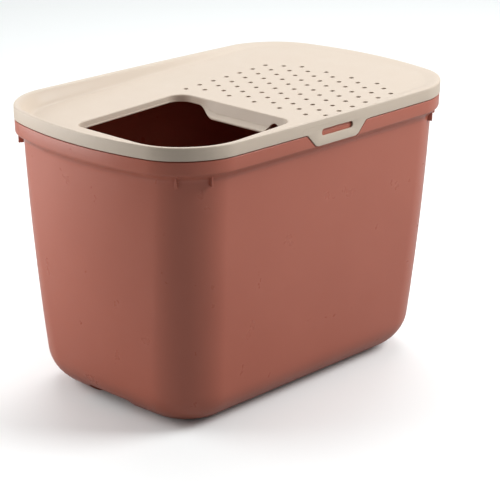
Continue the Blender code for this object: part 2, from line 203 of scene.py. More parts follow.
def matched_loops(
    outer: np.ndarray, inner: np.ndarray, centre: np.ndarray, count: int
) -> tuple[np.ndarray, np.ndarray]:
    """Pairs the points of two star-shaped loops, one inside the other.

    Args:
        outer: the outer loop.
        inner: the inner loop.
        centre: a point inside the inner loop that sees all of both.
        count: how many pairs to make.

    Returns:
        The outer and inner points. Each pair is on one ray, and the rays are spaced so that each step
        covers an equal share of the two loops' lengths together.
    """
    trial = np.linspace(0, 2 * math.pi, TRIAL_RAYS * count, endpoint=False)
    travel = np.zeros(len(trial))
    for loop in (outer, inner):
        hits = ray_hits(loop, centre, trial)
        step = np.linalg.norm(np.roll(hits, -1, axis=0) - hits, axis=1)
        travel += step / step.sum()
    passed = np.concatenate([[0.0], np.cumsum(travel)])
    wanted = np.linspace(0, passed[-1], count, endpoint=False)
    angles = np.interp(wanted, passed, np.append(trial, 2 * math.pi))
    return ray_hits(outer, centre, angles), ray_hits(inner, centre, angles)


def lifted(loop: np.ndarray, height: np.ndarray | float) -> np.ndarray:
    """A plan loop given one height, or a height for each point."""
    return np.column_stack([loop, np.broadcast_to(height, len(loop))])


def rounded_rows(
    rows: list[tuple[np.ndarray, np.ndarray | float]], closed: bool, steps: int = 5
) -> np.ndarray:
    """Rounds the corners of a section that is carried round a path.

    Args:
        rows: for each corner of the section, its points round the path and its radius, which may
            differ from point to point. A radius of 0 keeps the corner as it is.
        closed: whether the last row joins the first.
        steps: chords in each rounded corner.

    Returns:
        Array (rows, points, 3). A rounded corner becomes a circular arc tangent to both of its sides:
        centre = corner + bisector * radius / sin(half angle), and the arc turns between the two tangent
        points at even angles. A tangent point never takes more than SIDE_SHARE of its side.
    """
    points = np.stack([row for row, _ in rows])
    made = []
    for index, (corner, radius) in enumerate(rows):
        last = index in (0, len(rows) - 1) and not closed
        if last or np.max(radius) <= 0:
            made.append(corner[None])
            continue
        before = points[index - 1] - corner
        after = points[(index + 1) % len(rows)] - corner
        reach_before = np.linalg.norm(before, axis=1, keepdims=True) + TINY_LENGTH
        reach_after = np.linalg.norm(after, axis=1, keepdims=True) + TINY_LENGTH
        before, after = before / reach_before, after / reach_after
        cosine = (before * after).sum(axis=1, keepdims=True)
        cosine = np.clip(cosine, -STRAIGHT_COSINE, STRAIGHT_COSINE)
        half = np.arccos(cosine) / 2
        tangent = np.broadcast_to(radius, len(corner))[:, None] / np.tan(half)
        tangent = np.minimum(tangent, SIDE_SHARE * np.minimum(reach_before, reach_after))
        size = tangent * np.tan(half)
        bisector = before + after
        bisector /= np.linalg.norm(bisector, axis=1, keepdims=True) + TINY_LENGTH
        centre = corner + bisector * size / np.sin(half)
        start, end = corner + before * tangent - centre, corner + after * tangent - centre
        turn = math.pi - 2 * half
        share = np.linspace(0, 1, steps + 1)[:, None, None]
        swung = np.sin((1 - share) * turn) * start + np.sin(share * turn) * end
        made.append(centre + swung / np.sin(turn))
    return np.concatenate(made)


# ---------------------------------------------------------------- meshes


def linked(name: str, data: bpy.types.ID) -> bpy.types.Object:
    """Makes an object of a mesh, a light or a camera, and links it to the scene.

    Args:
        name: the object's name.
        data: what it shows.

    Returns:
        The object.
    """
    thing = bpy.data.objects.new(name, data)
    bpy.context.scene.collection.objects.link(thing)
    return thing


def mesh_object(name: str, points: np.ndarray, faces: list[np.ndarray]) -> bpy.types.Object:
    """Makes a mesh object.

    Args:
        name: the object's name.
        points: array (n, 3).
        faces: arrays of equal-sided faces, such as quads (m, 4) and triangles (k, 3).

    Returns:
        The object, linked to the scene.
    """
    mesh = bpy.data.meshes.new(name)
    corners = np.concatenate([group.ravel() for group in faces]).astype(np.int32)
    sides = np.concatenate([np.full(len(group), group.shape[1]) for group in faces])
    starts = np.concatenate([[0], np.cumsum(sides)[:-1]]).astype(np.int32)
    mesh.vertices.add(len(points))
    mesh.vertices.foreach_set("co", points.astype(np.float32).ravel())
    mesh.loops.add(len(corners))
    mesh.loops.foreach_set("vertex_index", corners)
    mesh.polygons.add(len(starts))
    mesh.polygons.foreach_set("loop_start", starts)
    mesh.update(calc_edges=True)
    mesh.validate()
    return linked(name, mesh)


def grid_faces(rows: int, count: int, closed: bool) -> np.ndarray:
    """Quads of a grid whose rows of points each close on themselves.

    Args:
        rows: the grid's rows.
        count: the points in each row.
        closed: whether the last row joins the first.

    Returns:
        Array (quads, 4) of point indices.
    """
    row = np.arange(rows if closed else rows - 1)[:, None] * count
    following = (row + count) % (rows * count)
    column = np.arange(count)[None, :]
    beside = (column + 1) % count
    corners = [row + column, row + beside, following + beside, following + column]
    return np.stack(corners, axis=-1).reshape(-1, 4)


def capped_faces(rows: int, count: int) -> list[np.ndarray]:
    """Faces of a grid whose first and last rows are closed by fans to one point each.

    Args:
        rows: the grid's rows.
        count: the points in each row. The two closing points follow the grid's.

    Returns:
        The quads, the first row's fan and the last row's fan.
    """
    column = np.arange(count)
    beside = (column + 1) % count
    pole, last = rows * count, (rows - 1) * count
    low_fan = np.stack([beside, column, np.full(count, pole)], axis=1)
    high_fan = np.stack([last + column, last + beside, np.full(count, pole + 1)], axis=1)
    return [grid_faces(rows, count, False), low_fan, high_fan]


def ring_solid(name: str, grid: np.ndarray) -> bpy.types.Object:
    """A closed ring: grid (rows, count, 3) joined to itself both ways."""
    rows, count = grid.shape[:2]
    return mesh_object(name, grid.reshape(-1, 3), [grid_faces(rows, count, True)])


def capped_solid(name: str, grid: np.ndarray, first: np.ndarray, last: np.ndarray) -> bpy.types.Object:
    """A solid whose first and last loops are closed by fans to one point each.

    Args:
        name: the object's name.
        grid: array (rows, count, 3) of loops, each anticlockwise seen from the last.
        first: the point that closes the first loop.
        last: the point that closes the last loop.

    Returns:
        The object.
    """
    rows, count = grid.shape[:2]
    points = np.concatenate([grid.reshape(-1, 3), [first, last]])
    return mesh_object(name, points, capped_faces(rows, count))


def prism(
    name: str, loop: np.ndarray, plane: Plane, low: float, high: float, centre: np.ndarray, edge: float = 0.0
) -> bpy.types.Object:
    """A flat outline extruded between two planes.

    Args:
        name: the object's name.
        loop: anticlockwise outline, star-shaped about centre.
        plane: the plane it is drawn in.
        low: where the extrusion starts on the third axis.
        high: where it ends.
        centre: where the end caps' fans meet.
        edge: radius of the rounded edges at both ends.

    Returns:
        The object, with its faces outward.
    """
    first, second = plane.value
    rows, poles = [], []
    for end in (high, low) if plane is Plane.XZ else (low, high):
        placed = np.full((len(loop) + 1, 3), float(end))
        placed[:, [first, second]] = np.vstack([loop, centre])
        rows.append(placed[:-1])
        poles.append(placed[-1])
    if edge > 0:
        inner = [pole + (row - pole) * CAP_SHARE for row, pole in zip(rows, poles)]
        section = [(inner[0], 0.0), (rows[0], edge), (rows[1], edge), (inner[1], 0.0)]
        grid = rounded_rows(section, closed=False, steps=EDGE_STEPS)
    else:
        grid = np.stack(rows)
    return capped_solid(name, grid, poles[0], poles[1])


def combine(target: bpy.types.Object, tools: list[bpy.types.Object], change: Change) -> None:
    """Joins tools to target or cuts them from it, one after the other, and removes them.

    Args:
        target: the solid that is changed.
        tools: closed solids.
        change: whether they are joined to it or cut from it.
    """
    for tool in tools:
        modifier = target.modifiers.new(tool.name, "BOOLEAN")
        modifier.operation = change.value
        modifier.object = tool
        modifier.solver = "MANIFOLD"
    evaluated = target.evaluated_get(bpy.context.evaluated_depsgraph_get())
    mesh = bpy.data.meshes.new_from_object(evaluated)
    target.modifiers.clear()
    spare = target.data
    target.data = mesh
    bpy.data.meshes.remove(spare)
    for tool in tools:
        bpy.data.objects.remove(tool)


# ---------------------------------------------------------------- shapes of the box


@dataclass(frozen=True)
class BowedOutline:
    """Rounded rectangle whose ends and long sides bow outward."""

    half_x: float
    half_y: float
    corner: float
    end_bow: float
    side_bow: float
    arc_steps: int = 30
    side_steps: int = 48
    end_steps: int = 36

    def moved_in(self, inset: float) -> BowedOutline:
        """The same outline, moved inward by inset."""
        return BowedOutline(
            self.half_x - inset, self.half_y - inset, self.corner - inset, self.end_bow, self.side_bow)

    def blended(self, other: BowedOutline, share: float) -> BowedOutline:
        """An outline between this one and another.

        Args:
            other: the other outline.
            share: 0 for this outline, 1 for the other.

        Returns:
            An outline whose sizes are this one's plus share times what the other's have more.
        """
        mine = np.array([self.half_x, self.half_y, self.corner, self.end_bow, self.side_bow])
        theirs = np.array([other.half_x, other.half_y, other.corner, other.end_bow, other.side_bow])
        return BowedOutline(*(mine + (theirs - mine) * share))

    def bow(self, x: np.ndarray, y: np.ndarray) -> tuple[np.ndarray, np.ndarray]:
        """Bows a flat-sided outline's points outward.

        Args:
            x: their places along X.
            y: their places along Y.

        Returns:
            Both places, each moved out by its bow times 1 minus the square of the way along that side.
        """
        flat_x, flat_y = self.half_x - self.end_bow, self.half_y - self.side_bow
        bowed_x = x + np.sign(x) * self.end_bow * (1 - (y / flat_y) ** 2)
        bowed_y = y + np.sign(y) * self.side_bow * (1 - (x / flat_x) ** 2)
        return bowed_x, bowed_y

    def points(self) -> np.ndarray:
        """Anticlockwise loop: four quarter arcs joined by straight runs, and then bowed.

        Returns:
            Array (n, 2).
        """
        reach_x = self.half_x - self.end_bow - self.corner
        reach_y = self.half_y - self.side_bow - self.corner
        arcs = [
            arc((sx * reach_x, sy * reach_y), self.corner, start, start + 90, self.arc_steps)
            for sx, sy, start in ((1, 1, 0), (-1, 1, 90), (-1, -1, 180), (1, -1, 270))
        ]
        flat = joined_arcs(arcs, (self.side_steps, self.end_steps) * 2)
        return np.stack(self.bow(flat[:, 0], flat[:, 1]), axis=1)


@dataclass(frozen=True)
class BoxPlan:
    """Sizes that the tub, the lid and the tabs share, read from the frame's box where it gives them."""

    length: float
    width: float
    height: float
    corner: float = 0.066
    end_bow: float = 0.0373
    side_bow: float = 0.0035
    wall: float = 0.0022
    skirt_drop: float = 0.0172

    @property
    def rim(self) -> BowedOutline:
        """The lid's outline."""
        return BowedOutline(self.length / 2, self.width / 2, self.corner, self.end_bow, self.side_bow)

    @property
    def skirt_z(self) -> float:
        """Height of the skirt's lower edge."""
        return self.height - self.skirt_drop

    def side_y(self, x: np.ndarray | float) -> np.ndarray | float:
        """How far the long side's face is from the middle at x."""
        flat_x = self.length / 2 - self.end_bow
        return self.width / 2 - self.side_bow * (np.asarray(x) / flat_x) ** 2


# ---------------------------------------------------------------- finishes


class Graph:
    """Short forms for building a node tree.

    The Mix node has a set of sockets for each type of value; its colour ones are found by their place.
    """

    mix_colours = (6, 7)
    mix_result = 2

    def __init__(self, tree: bpy.types.NodeTree) -> None:
        """Keeps the tree and clears it."""
        self.tree = tree
        tree.nodes.clear()

    def add(self, kind: str, **values: object) -> bpy.types.Node:
        """Adds a node.

        Args:
            kind: the node's type name.
            values: attributes of the node, or its inputs by socket name with spaces as underscores.

        Returns:
            The node.
        """
        node = self.tree.nodes.new(kind)
        for key, value in values.items():
            if hasattr(node, key):
                setattr(node, key, value)
            else:
                node.inputs[key.replace("_", " ")].default_value = value
        return node

    def join(self, source: object, target: bpy.types.NodeSocket) -> None:
        """Feeds a socket.

        Args:
            source: a socket to link, or a value to set.
            target: the socket that is fed.
        """
        if isinstance(source, bpy.types.NodeSocket):
            self.tree.links.new(source, target)
        else:
            target.default_value = source

    def maths(
        self, operation: str, first: object, second: object, clamp: bool = False
    ) -> bpy.types.NodeSocket:
        """Adds a Math node.

        Args:
            operation: its operation.
            first: a number or socket.
            second: a number or socket.
            clamp: whether the result is kept between 0 and 1.

        Returns:
            Its result.
        """
        node = self.add("ShaderNodeMath", operation=operation, use_clamp=clamp)
        for target, source in zip(node.inputs, (first, second)):
            self.join(source, target)
        return node.outputs[0]

    def spread(self, value: bpy.types.NodeSocket, low: float, high: float, to_low: float = 0.0,
               to_high: float = 1.0) -> bpy.types.NodeSocket:
        """Adds a Map Range node that clamps.

        Args:
            value: the socket that is mapped.
            low: the value that becomes to_low.
            high: the value that becomes to_high.
            to_low: the result at low.
            to_high: the result at high.

        Returns:
            Its result.
        """
        node = self.add("ShaderNodeMapRange", clamp=True)
        self.join(value, node.inputs["Value"])
        for name, number in zip(("From Min", "From Max", "To Min", "To Max"), (low, high, to_low, to_high)):
            node.inputs[name].default_value = number
        return node.outputs["Result"]

    def mix(self, share: bpy.types.NodeSocket, first: object, second: object) -> bpy.types.NodeSocket:
        """Adds a colour Mix node.

        Args:
            share: 0 for the first colour, 1 for the second.
            first: a colour or socket.
            second: a colour or socket.

        Returns:
            Its result.
        """
        node = self.add("ShaderNodeMix", data_type="RGBA")
        self.join(share, node.inputs["Factor"])
        for index, source in zip(self.mix_colours, (first, second)):
            self.join(source, node.inputs[index])
        return node.outputs[self.mix_result]

    def noise(self, where: bpy.types.NodeSocket, scale: object, detail: float, roughness: float
              ) -> bpy.types.NodeSocket:
        """Adds a Noise Texture.

        Args:
            where: the coordinates.
            scale: a number or socket.
            detail: its octaves.
            roughness: each finer octave's share.

        Returns:
            Its factor.
        """
        node = self.add("ShaderNodeTexNoise", Detail=detail, Roughness=roughness)
        self.join(where, node.inputs["Vector"])
        self.join(scale, node.inputs["Scale"])
        return node.outputs["Fac"]


def group_tree(
    name: str, inputs: dict[str, str], outputs: dict[str, str]
) -> tuple[Graph, bpy.types.Node, bpy.types.Node]:
    """Starts a shader node group.

    Args:
        name: the group's name.
        inputs: socket types by name.
        outputs: socket types by name.

    Returns:
        The graph, and the nodes that hold the group's inputs and outputs.
    """
    tree = bpy.data.node_groups.new(name, "ShaderNodeTree")
    for direction, sockets in (("INPUT", inputs), ("OUTPUT", outputs)):
        for label, kind in sockets.items():
            tree.interface.new_socket(name=label, in_out=direction, socket_type=kind)
    graph = Graph(tree)
    return graph, graph.add("NodeGroupInput"), graph.add("NodeGroupOutput")


def moulded_grain_group() -> bpy.types.NodeTree:
    """Fine grain and slow sheen changes of an injection-moulded face.

    Returns:
        A group. Height is a fine spark-eroded grain over a broad sink ripple, Mottle is a slow cloud
        from 0 to 1, and Gloss is a medium cloud from 0 to 1 that shifts the roughness.
    """
    number = "NodeSocketFloat"
    graph, given, out = group_tree(
        "Moulded grain",
        {"Vector": "NodeSocketVector", "Grain Scale": number, "Grain Depth": number, "Ripple Scale": number,
         "Ripple Depth": number},
        {"Height": number, "Mottle": number, "Gloss": number})
    where = given.outputs["Vector"]
    grain = graph.noise(where, given.outputs["Grain Scale"], detail=2.0, roughness=0.6)
    ripple = graph.noise(where, given.outputs["Ripple Scale"], detail=1.0, roughness=0.4)
    mottle = graph.noise(where, scale=5.0, detail=3.0, roughness=0.55)
    gloss = graph.noise(where, scale=26.0, detail=4.0, roughness=0.6)
    height = graph.maths(
        "ADD",
        graph.maths("MULTIPLY", grain, given.outputs["Grain Depth"]),
        graph.maths("MULTIPLY", ripple, given.outputs["Ripple Depth"]))
    graph.join(height, out.inputs["Height"])
    graph.join(graph.spread(mottle, low=0.35, high=0.65), out.inputs["Mottle"])
    graph.join(graph.spread(gloss, low=0.3, high=0.7), out.inputs["Gloss"])
    return graph.tree


def settled_dust_group() -> bpy.types.NodeTree:
    """Fine dust that settles on faces that look up.

    Returns:
        A group. Dust is the upward part of the face's normal, times a speckled noise that is broken up
        by a slow cloud, times the amount.
    """
    number = "NodeSocketFloat"
    graph, given, out = group_tree(
        "Settled dust", {"Vector": "NodeSocketVector", "Amount": number}, {"Dust": number})
    where = given.outputs["Vector"]
    split = graph.add("ShaderNodeSeparateXYZ")
    graph.join(graph.add("ShaderNodeNewGeometry").outputs["Normal"], split.inputs["Vector"])
    upward = graph.spread(split.outputs["Z"], low=0.75, high=1.0)
    fine = graph.noise(where, scale=240.0, detail=3.0, roughness=0.7)
    broad = graph.noise(where, scale=14.0, detail=2.0, roughness=0.5)
    speckle, cloud = graph.spread(fine, low=0.52, high=0.72), graph.spread(broad, low=0.40, high=0.65)
    settled = graph.maths("MULTIPLY", graph.maths("MULTIPLY", upward, speckle), cloud)
    graph.join(graph.maths("MULTIPLY", settled, given.outputs["Amount"]), out.inputs["Dust"])
    return graph.tree


@dataclass(frozen=True)
class SatinMoulding:
    """A satin polypropylene finish: its colours, sheen and grain."""

    name: str
    slot: str
    colour: tuple[float, float, float]
    deep: tuple[float, float, float]
    roughness: float
    roughness_swing: float
    grain_scale: float
    grain_depth: float
    ripple_depth: float
    dust: float
    specular: float
    ripple_scale: float = 9.0
    dust_colour: tuple[float, float, float] = (0.78, 0.75, 0.70)
    dust_matting: float = 0.3

    def build(self, grain: bpy.types.NodeTree, settled: bpy.types.NodeTree) -> bpy.types.Material:
        """Makes the material.

        Args:
            grain: the moulded grain group.
            settled: the settled dust group.

        Returns:
            A material whose base colour drifts between two close pigments, whose roughness follows the
            grain's sheen and the dust, and whose bump is the grain.
        """
        material = bpy.data.materials.new(self.name)
        material.use_nodes = True
        graph = Graph(material.node_tree)
        where = graph.add("ShaderNodeTexCoord").outputs["Object"]
        moulded = graph.add(
            "ShaderNodeGroup", node_tree=grain, Grain_Scale=self.grain_scale,
            Grain_Depth=self.grain_depth, Ripple_Scale=self.ripple_scale, Ripple_Depth=self.ripple_depth)
        dust = graph.add("ShaderNodeGroup", node_tree=settled, Amount=self.dust)
        for node in (moulded, dust):
            graph.join(where, node.inputs["Vector"])
        shader = graph.add("ShaderNodeBsdfPrincipled", Metallic=0.0, IOR=1.49)
        shader.inputs["Specular IOR Level"].default_value = self.specular
        pigment = graph.mix(moulded.outputs["Mottle"], (*self.colour, 1.0), (*self.deep, 1.0))
        dusty = graph.mix(dust.outputs["Dust"], pigment, (*self.dust_colour, 1.0))
        graph.join(dusty, shader.inputs["Base Color"])
        low, high = self.roughness - self.roughness_swing, self.roughness + self.roughness_swing
        sheen = graph.spread(moulded.outputs["Gloss"], 0.0, 1.0, low, high)
        matted = graph.maths("MULTIPLY", dust.outputs["Dust"], self.dust_matting)
        graph.join(graph.maths("ADD", sheen, matted, clamp=True), shader.inputs["Roughness"])
        bump = graph.add("ShaderNodeBump", Strength=1.0, Distance=0.001)
        graph.join(moulded.outputs["Height"], bump.inputs["Height"])
        graph.join(bump.outputs["Normal"], shader.inputs["Normal"])
        graph.join(shader.outputs["BSDF"], graph.add("ShaderNodeOutputMaterial").inputs["Surface"])
        return material


TERRACOTTA = SatinMoulding(
    name="terracotta_moulding",
    slot="tub_plastic",
    colour=(0.455, 0.136, 0.089),
    deep=(0.430, 0.125, 0.081),
    roughness=0.30,
    roughness_swing=0.03,
    grain_scale=900.0,
    grain_depth=0.10,
    ripple_depth=0.35,
    dust=0.10,
    specular=0.45,
)
CREAM = SatinMoulding(
    name="cream_moulding",
    slot="lid_plastic",
    colour=(0.598, 0.504, 0.408),
    deep=(0.600, 0.500, 0.405),
    roughness=0.42,
    roughness_swing=0.05,
    grain_scale=1000.0,
    grain_depth=0.12,
    ripple_depth=0.25,
    dust=0.06,
    specular=0.45,
)


# ---------------------------------------------------------------- sub-assemblies


@dataclass
class Moulding:
    """One moulded piece: its plan, its finish and the CAD node that it stands for."""

    plan: BoxPlan
    node: str
    finish: SatinMoulding
    sharp_angle: float = 38.0

    def dress(self, thing: bpy.types.Object, material: bpy.types.Material) -> None:
        """Shades the piece, gives it its material and makes it ride on its body.

        Args:
            thing: the finished mesh object.
            material: its material.
        """
        mesh = thing.data
        mesh.materials.clear()
        mesh.materials.append(material)
        mesh.shade_smooth()
        mesh.set_sharp_from_angle(angle=math.radians(self.sharp_angle))
        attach(thing, self.node)
        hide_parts(self.node)
        count = sum(len(face.vertices) - 2 for face in mesh.polygons)
        LOG.info("%s: %d triangles, rides on %s", thing.name, count, self.node)


@dataclass
class Tub(Moulding):
    """The deep tub: drafted wall, rounded base, foot ring, rim band, corner ribs and tab pockets."""

    top_inset: float = 0.0115
    base: BowedOutline = field(default_factory=lambda: BowedOutline(0.2424, 0.1505, 0.0662, 0.0045, 0.0))
    base_round: float = 0.0500
    fullness: float = 0.0025
    base_steps: int = 14
    foot_width: float = 0.009
    foot_height: float = 0.005
    foot_step: float = 0.001
    foot_flat: float = 0.020
    foot_rounds: tuple[float, float] = (0.0015, 0.0012)
    floor_thick: float = 0.0026
    wall_top_drop: float = 0.046
    wall_low: float = 0.08
    wall_gap: float = 0.010
    wall_rows: int = 12
    flare_start_drop: float = 0.0455
    flare_round: float = 0.0130
    band_inset: float = 0.0006
    band_low_drop: float = 0.0345
    band_edge: tuple[float, float] = (0.0004, 0.0015)
    band_low_round: float = 0.0045
    shoulder_rounds: tuple[float, float] = (0.0007, 0.0006)
    seam: float = 0.0014
    upstand_inset: float = 0.0034
    upstand_thick: float = 0.0022
    upstand_drop: float = 0.0056
    upstand_round: float = 0.0008
    inside_flare: float = 0.0030
    inside_step: float = 0.001
    corner_narrowing: float = 0.75
    least_corner: float = 0.010
    rib_angles: tuple[float, ...] = (30.0, 68.0)
    rib_insets: tuple[float, float] = (0.0060, 0.0132)
    rib_drops: tuple[float, float] = (0.0535, 0.0390)
    rib_thick: float = 0.0024
    rib_corner: float = 0.0007
    rib_edge: float = 0.0006
    notch_y: float = 0.0040
    notch_length: float = 0.0800
    notch_height: float = 0.0210
    notch_ends: tuple[float, float] = (-0.285, -0.1790)
    notch_wall: float = 0.0025
    notch_corner: float = 0.005
    notch_steps: int = 8
    roof_start: tuple[float, float] = (-0.2305, 0.0190)
    roof_foot: tuple[float, float] = (-0.2150, 0.0064)
    pocket_depth: float = 0.0029
    pocket_margin: float = 0.0009
    pocket_runout: float = 0.008

    def wall_loop(self, height: float, inset: float) -> np.ndarray:
        """The drafted wall at a height, moved inward.

        Args:
            height: the height above the floor.
            inset: how far inside the outer face.

        Returns:
            Array (n, 3). The outline's sizes go evenly from the base's to the top's as the height rises,
            plus a fullness that is 4 times the share of the height times what is left of it.
        """
        share = height / (self.plan.height - self.wall_top_drop)
        shape = self.base.blended(self.plan.rim.moved_in(self.top_inset), share)
        fuller = self.fullness * 4 * share * (1 - share)
        shape = BowedOutline(
            shape.half_x + fuller - inset, shape.half_y + fuller - inset,
            max(shape.corner - self.corner_narrowing * inset, self.least_corner),
            shape.end_bow, shape.side_bow)
        return lifted(shape.points(), height)

    def base_rows(self, radius: float, inset: float, low: float) -> list[np.ndarray]:
        """Loops of the quarter round between the base and the wall.

        Args:
            radius: its radius.
            inset: how far its upper end is inside the outer face.
            low: the height of its lower end.

        Returns:
            Arrays (n, 3), from the base up, at even angles of the round.
        """
        rows = []
        for angle in np.radians(np.linspace(0, 90, self.base_steps + 1)):
            height = low + radius * (1 - math.cos(angle))
            rows.append(self.wall_loop(height, inset + radius * (1 - math.sin(angle))))
        return rows

    def rim_loop(self, inset: float, drop: float) -> np.ndarray:
        """The lid's outline moved inward, at a distance below the top."""
        return lifted(self.plan.rim.moved_in(inset).points(), self.plan.height - drop)

    def section(self) -> np.ndarray:
        """The tub's rounded section carried round its plan.

        Returns:
            Array (rows, n, 3), from under the base, up the outside, over the rim and down the inside.
        """
        wall, low = self.plan.wall, self.foot_height
        inner_rim = self.upstand_inset + self.upstand_thick
        shoulder = self.plan.skirt_drop + self.seam
        top_z = self.plan.height - self.wall_top_drop
        foot = self.base_round + self.foot_width
        edge_inset, edge_drop = self.band_edge
        rows: list[tuple[np.ndarray, float]] = [
            (lifted(self.wall_loop(0, foot + self.foot_flat)[:, :2], low), 0.0),
            (lifted(self.wall_loop(0, foot + self.foot_step)[:, :2], low), self.foot_rounds[0]),
            (self.wall_loop(0, foot), self.foot_rounds[1]),
        ]
        rows += [(row, 0.0) for row in self.base_rows(self.base_round, 0.0, 0.0)]
        climb = np.linspace(self.wall_low, top_z - self.wall_gap, self.wall_rows)
        rows += [(self.wall_loop(z, 0.0), 0.0) for z in climb]
        rows += [
            (self.rim_loop(self.top_inset, self.flare_start_drop), self.flare_round),
            (self.rim_loop(self.band_inset + edge_inset, self.band_low_drop + edge_drop),
             self.band_low_round),
            (self.rim_loop(self.band_inset, shoulder), self.shoulder_rounds[0]),
            (self.rim_loop(self.upstand_inset, shoulder), self.shoulder_rounds[1]),
            (self.rim_loop(self.upstand_inset, self.upstand_drop), self.upstand_round),
            (self.rim_loop(inner_rim, self.upstand_drop), self.upstand_round),
            (self.rim_loop(inner_rim, self.band_low_drop + self.inside_flare), self.inside_flare),
            (self.wall_loop(top_z - self.inside_step, wall), self.band_low_round),
        ]
        fall = np.linspace(climb[-1] - 2 * self.inside_step, self.wall_low, self.wall_rows)
        rows += [(self.wall_loop(z, wall), 0.0) for z in fall]
        inside = self.base_rows(self.base_round - wall, wall, self.foot_height + self.floor_thick)
        rows += [(row, 0.0) for row in reversed(inside)]
        return rounded_rows(rows, closed=False)

    def ribs(self) -> list[bpy.types.Object]:
        """Two short upright ribs under the band at each corner.

        Returns:
            The ribs, standing square to the corner's arc, from corner to corner.
        """
        plan = self.plan
        centre_x = plan.length / 2 - plan.end_bow - plan.corner
        centre_y = plan.width / 2 - plan.side_bow - plan.corner
        outer, inner = self.rib_insets
        outline = BowedOutline(
            half_x=(inner - outer) / 2, half_y=self.rib_thick / 2, corner=self.rib_corner, end_bow=0.0,
            side_bow=0.0, arc_steps=4, side_steps=2, end_steps=2).points()
        low, high = (plan.height - drop for drop in self.rib_drops)
        made = []
        for sx, sy in ((1, 1), (-1, 1), (-1, -1), (1, -1)):
            for degrees in self.rib_angles:
                angle = math.radians(degrees)
                reach = plan.corner - (outer + inner) / 2
                x, y = centre_x + reach * math.cos(angle), centre_y + reach * math.sin(angle)
                x += plan.end_bow * (1 - (y / (plan.width / 2 - plan.side_bow)) ** 2)
                turn = math.atan2(sy * math.sin(angle), sx * math.cos(angle))
                spin = np.array([[math.cos(turn), math.sin(turn)], [-math.sin(turn), math.cos(turn)]])
                middle = np.array([sx * x, sy * y])
                name = f"rib_{len(made)}"
                made.append(prism(name, outline @ spin + middle, Plane.XY, low, high, middle, self.rib_edge))
        return made

    def pockets(self, tabs: dict[Side, SnapTab]) -> list[bpy.types.Object]:
        """Cutters for the shallow pockets that the tabs lie in.

        Args:
            tabs: the tabs, by side.

        Returns:
            One cutter for each tab.
        """
        made = []
        for side, tab in tabs.items():
            near = side.value * (self.plan.width / 2 - self.pocket_depth)
            far = side.value * (self.plan.width / 2 + CUT_MARGIN)
            loop = tab.outline(self.pocket_margin, self.pocket_runout)
            made.append(prism(
                f"pocket_{side.name}", loop, Plane.XZ, min(near, far), max(near, far), tab.centre))
        return made

    def notch_roof(self) -> bpy.types.Object:
        """The roof over the grip notch, which stands up inside the tub.

        Returns:
            A solid whose XZ outline is higher and longer than the notch by the thickness of its wall.
        """
        start, foot = self.roof_start, self.roof_foot
        top, end = self.notch_height + self.notch_wall, self.notch_ends[1] + self.notch_wall
        loop = np.array([start, foot, (end, foot[1]), (end, top), (start[0], top)])
        half = self.notch_length / 2 + self.notch_wall
        middle = np.array([(start[0] + end) / 2, (foot[1] + top) / 2])
        return prism("notch_roof", loop, Plane.XZ, self.notch_y - half, self.notch_y + half, middle)

    def notch(self) -> bpy.types.Object:
        """Cutter for the grip notch in the foot at the -X end.

        Returns:
            A solid whose YZ outline is a rectangle with its upper corners rounded.
        """
        half, top, radius = self.notch_length / 2, self.notch_height, self.notch_corner
        reach = half - radius
        loop = np.concatenate([
            [(-half, -CUT_MARGIN), (half, -CUT_MARGIN)],
            arc((reach, top - radius), radius, 0, 90, self.notch_steps),
            arc((-reach, top - radius), radius, 90, 180, self.notch_steps)]) + (self.notch_y, 0)
        outer, inner = self.notch_ends
        return prism("notch", loop, Plane.YZ, outer, inner, np.array([self.notch_y, 0.0]))

    def build(self, tabs: dict[Side, SnapTab]) -> bpy.types.Object:
        """Makes the tub.

        Args:
            tabs: the tabs, whose outlines shape the pockets.

        Returns:
            The finished piece.
        """
        grid = self.section()
        low, high = grid[0].mean(axis=0), grid[-1].mean(axis=0)
        tub = capped_solid("tub_shell", grid, low, high)
        combine(tub, [*self.ribs(), self.notch_roof()], Change.JOIN)
        combine(tub, [*self.pockets(tabs), self.notch()], Change.CUT)
        return tub


@dataclass(frozen=True)
class EntryOpening:
    """The entry opening's outline: four corner arcs of unlike radii, from the far right corner on."""

    left: float = -0.2254
    right: float = -0.0313
    near: float = -0.1385
    far: float = 0.0715
    radii: tuple[float, float, float, float] = (0.024, 0.018, 0.092, 0.018)
    centre: tuple[float, float] = (-0.130, -0.045)
    steps: int = 40

    def points(self) -> np.ndarray:
        """Anticlockwise loop of the arcs, joined by straight runs.

        Returns:
            Array (n, 2).
        """
        corners = (
            (self.right, self.far, -1, -1), (self.left, self.far, 1, -1),
            (self.left, self.near, 1, 1), (self.right, self.near, -1, 1))
        arcs = [
            arc((x + sx * radius, y + sy * radius), radius, 90 * index, 90 * index + 90, self.steps)
            for index, ((x, y, sx, sy), radius) in enumerate(zip(corners, self.radii))
        ]
        return joined_arcs(arcs, (self.steps - 1,) * len(arcs))


